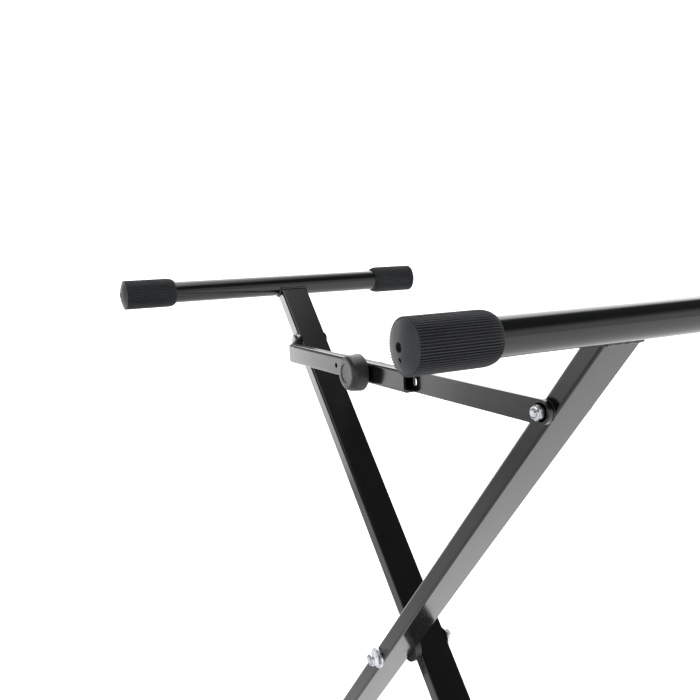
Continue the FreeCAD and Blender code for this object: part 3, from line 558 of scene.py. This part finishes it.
def welds():
    """Four beads: each leg to its arm tube above and its foot tube below."""
    weld("left_arm_weld", "rear_frame", LEG_CENTRE, -LEAN, 1)
    weld("right_foot_weld", "rear_frame", LEG_CENTRE, -LEAN, -1)
    weld("right_arm_weld", "front_frame", -LEG_CENTRE, LEAN, 1)
    weld("left_foot_weld", "front_frame", -LEG_CENTRE, LEAN, -1)


def camera():
    """The photograph's viewpoint: place, right, down and forward directions, and lens in pixels of 700."""
    right = np.array([0.5005964, 0.86509426, -0.03186174])
    down = np.array([0.09684509, -0.09253895, -0.99098818])
    forward = np.array([-0.86024663, 0.49299946, -0.1301048])
    place = np.array([684.06, -430.97, ARM_Z + 61.11])
    picture_px, lens_px, centre_px = 700, 844.04, (368, 345)
    data = bpy.data.cameras.new("camera")
    data.sensor_width = 36.0
    data.lens = lens_px * data.sensor_width / picture_px
    data.shift_x = 0.5 - centre_px[0] / picture_px
    data.shift_y = centre_px[1] / picture_px - 0.5
    data.clip_start = 0.01
    data.clip_end = 100
    item = bpy.data.objects.new("camera", data)
    axes = np.stack([right, -down, -forward], axis=1)
    item.matrix_world = Matrix.Translation(place * MM) @ Matrix(axes).to_4x4()
    bpy.context.scene.collection.objects.link(item)
    bpy.context.scene.camera = item


def panel(name, at, toward, width, height, radiance):
    """Soft box in metres: a rectangle of even radiance; its power is radiance * area * pi."""
    data = bpy.data.lights.new(name, "AREA")
    data.shape = "RECTANGLE"
    data.size = width
    data.size_y = height
    data.energy = radiance * width * height * math.pi
    item = bpy.data.objects.new(name, data)
    aim = np.array(toward, float) - np.array(at, float)
    aim /= np.linalg.norm(aim)
    side = np.cross(aim, (0, 0, 1)) if abs(aim[2]) < 0.99 else np.array([1.0, 0, 0])
    side /= np.linalg.norm(side)
    rise = np.cross(side, aim)
    item.matrix_world = Matrix.Translation(at) @ Matrix(np.stack([side, rise, -aim], axis=1)).to_4x4()
    bpy.context.scene.collection.objects.link(item)


def floor():
    """Pale paper floor with painted glow: an emission that brightens it behind the stand and far away, not
    lit by any lamp.
    """
    half = 40.0
    mesh = bpy.data.meshes.new("studio_floor")
    corners = [(-half, -half, 0), (half, -half, 0), (half, half, 0), (-half, half, 0)]
    mesh.from_pydata(corners, [], [(0, 1, 2, 3)])
    material, tree, place = new_finish("pale_studio_paper_painted_glow")
    # Painted glow: the paper's emission rises towards the rear (+y) and with distance from the stand.
    away = node(tree, "ShaderNodeVectorMath", {"operation": "LENGTH"}, i0=place)
    behind = node(tree, "ShaderNodeSeparateXYZ", i0=place)
    far_painted_glow = node(tree, "ShaderNodeMapRange", i0=away.outputs["Value"], i1=2.2, i2=4.5, i3=0.0, i4=0.9)
    near_painted_glow = node(tree, "ShaderNodeMapRange", i0=behind.outputs["Y"], i1=-0.6, i2=0.3, i3=0.0, i4=0.95)
    glow = node(tree, "ShaderNodeMath", {"operation": "MAXIMUM"}, i0=far_painted_glow.outputs[0],
                i1=near_painted_glow.outputs[0])
    # The emission strength is the painted glow on the paper, standing in for light.
    shader = node(tree, "ShaderNodeBsdfPrincipled", Base_Color=linear("#cfcfcf"), Roughness=0.9,
                  Emission_Color=linear("#ffffff"), Emission_Strength=glow.outputs[0])
    node(tree, "ShaderNodeOutputMaterial", Surface=shader.outputs[0])
    mesh.materials.append(material)
    item = bpy.data.objects.new("studio_floor", mesh)
    bpy.context.scene.collection.objects.link(item)


def studio():
    """White room with dark upper walls, a soft glow overhead and a soft box high at the rear left.

    Panels light the front faces from the left, in two steps, and throw a soft shadow from above.
    """
    world = bpy.data.worlds.new("white_room")
    world.use_nodes = True
    tree = world.node_tree
    tree.nodes.clear()
    heading = node(tree, "ShaderNodeTexCoord").outputs["Generated"]
    height = node(tree, "ShaderNodeSeparateXYZ", i0=heading).outputs["Z"]
    soft = {"interpolation_type": "SMOOTHSTEP"}
    walls = node(tree, "ShaderNodeMapRange", i0=height, i1=0.28, i2=0.5, i3=1.05, i4=0.1)
    overhead = node(tree, "ShaderNodeMapRange", soft, i0=height, i1=0.83, i2=0.96, i3=0.0, i4=2.2)
    box_way = (-0.64, 0.46, 0.615)
    facing = node(tree, "ShaderNodeVectorMath", {"operation": "DOT_PRODUCT"}, i0=heading, i1=box_way)
    box = node(tree, "ShaderNodeMapRange", soft, i0=facing.outputs["Value"], i1=0.84, i2=0.94, i3=0.0, i4=3.2)
    above = node(tree, "ShaderNodeMath", {"operation": "ADD"}, i0=overhead.outputs[0], i1=box.outputs[0])
    glow = node(tree, "ShaderNodeMath", {"operation": "ADD"}, i0=walls.outputs[0], i1=above.outputs[0])
    sky = node(tree, "ShaderNodeBackground", Color=linear("#ffffff"), Strength=glow.outputs[0])
    node(tree, "ShaderNodeOutputWorld", Surface=sky.outputs[0])
    bpy.context.scene.world = world
    panel("left_panel", (-1.5, -0.49, 0.6), (0, -0.49, 0.6), 0.38, 1.1, 3.5)
    panel("left_fill", (-1.5, -0.94, 0.6), (0, -0.94, 0.6), 0.52, 1.1, 1.1)
    panel("top_panel", (0.0, -0.2, 2.8), (0, -0.2, 0.0), 2.2, 1.5, 1.2)
    bpy.context.scene.view_settings.view_transform = "Standard"


paint_nodes()
rubber_ends()
tubes()
knob()
fasteners()
bar()
welds()
camera()
floor()
studio()
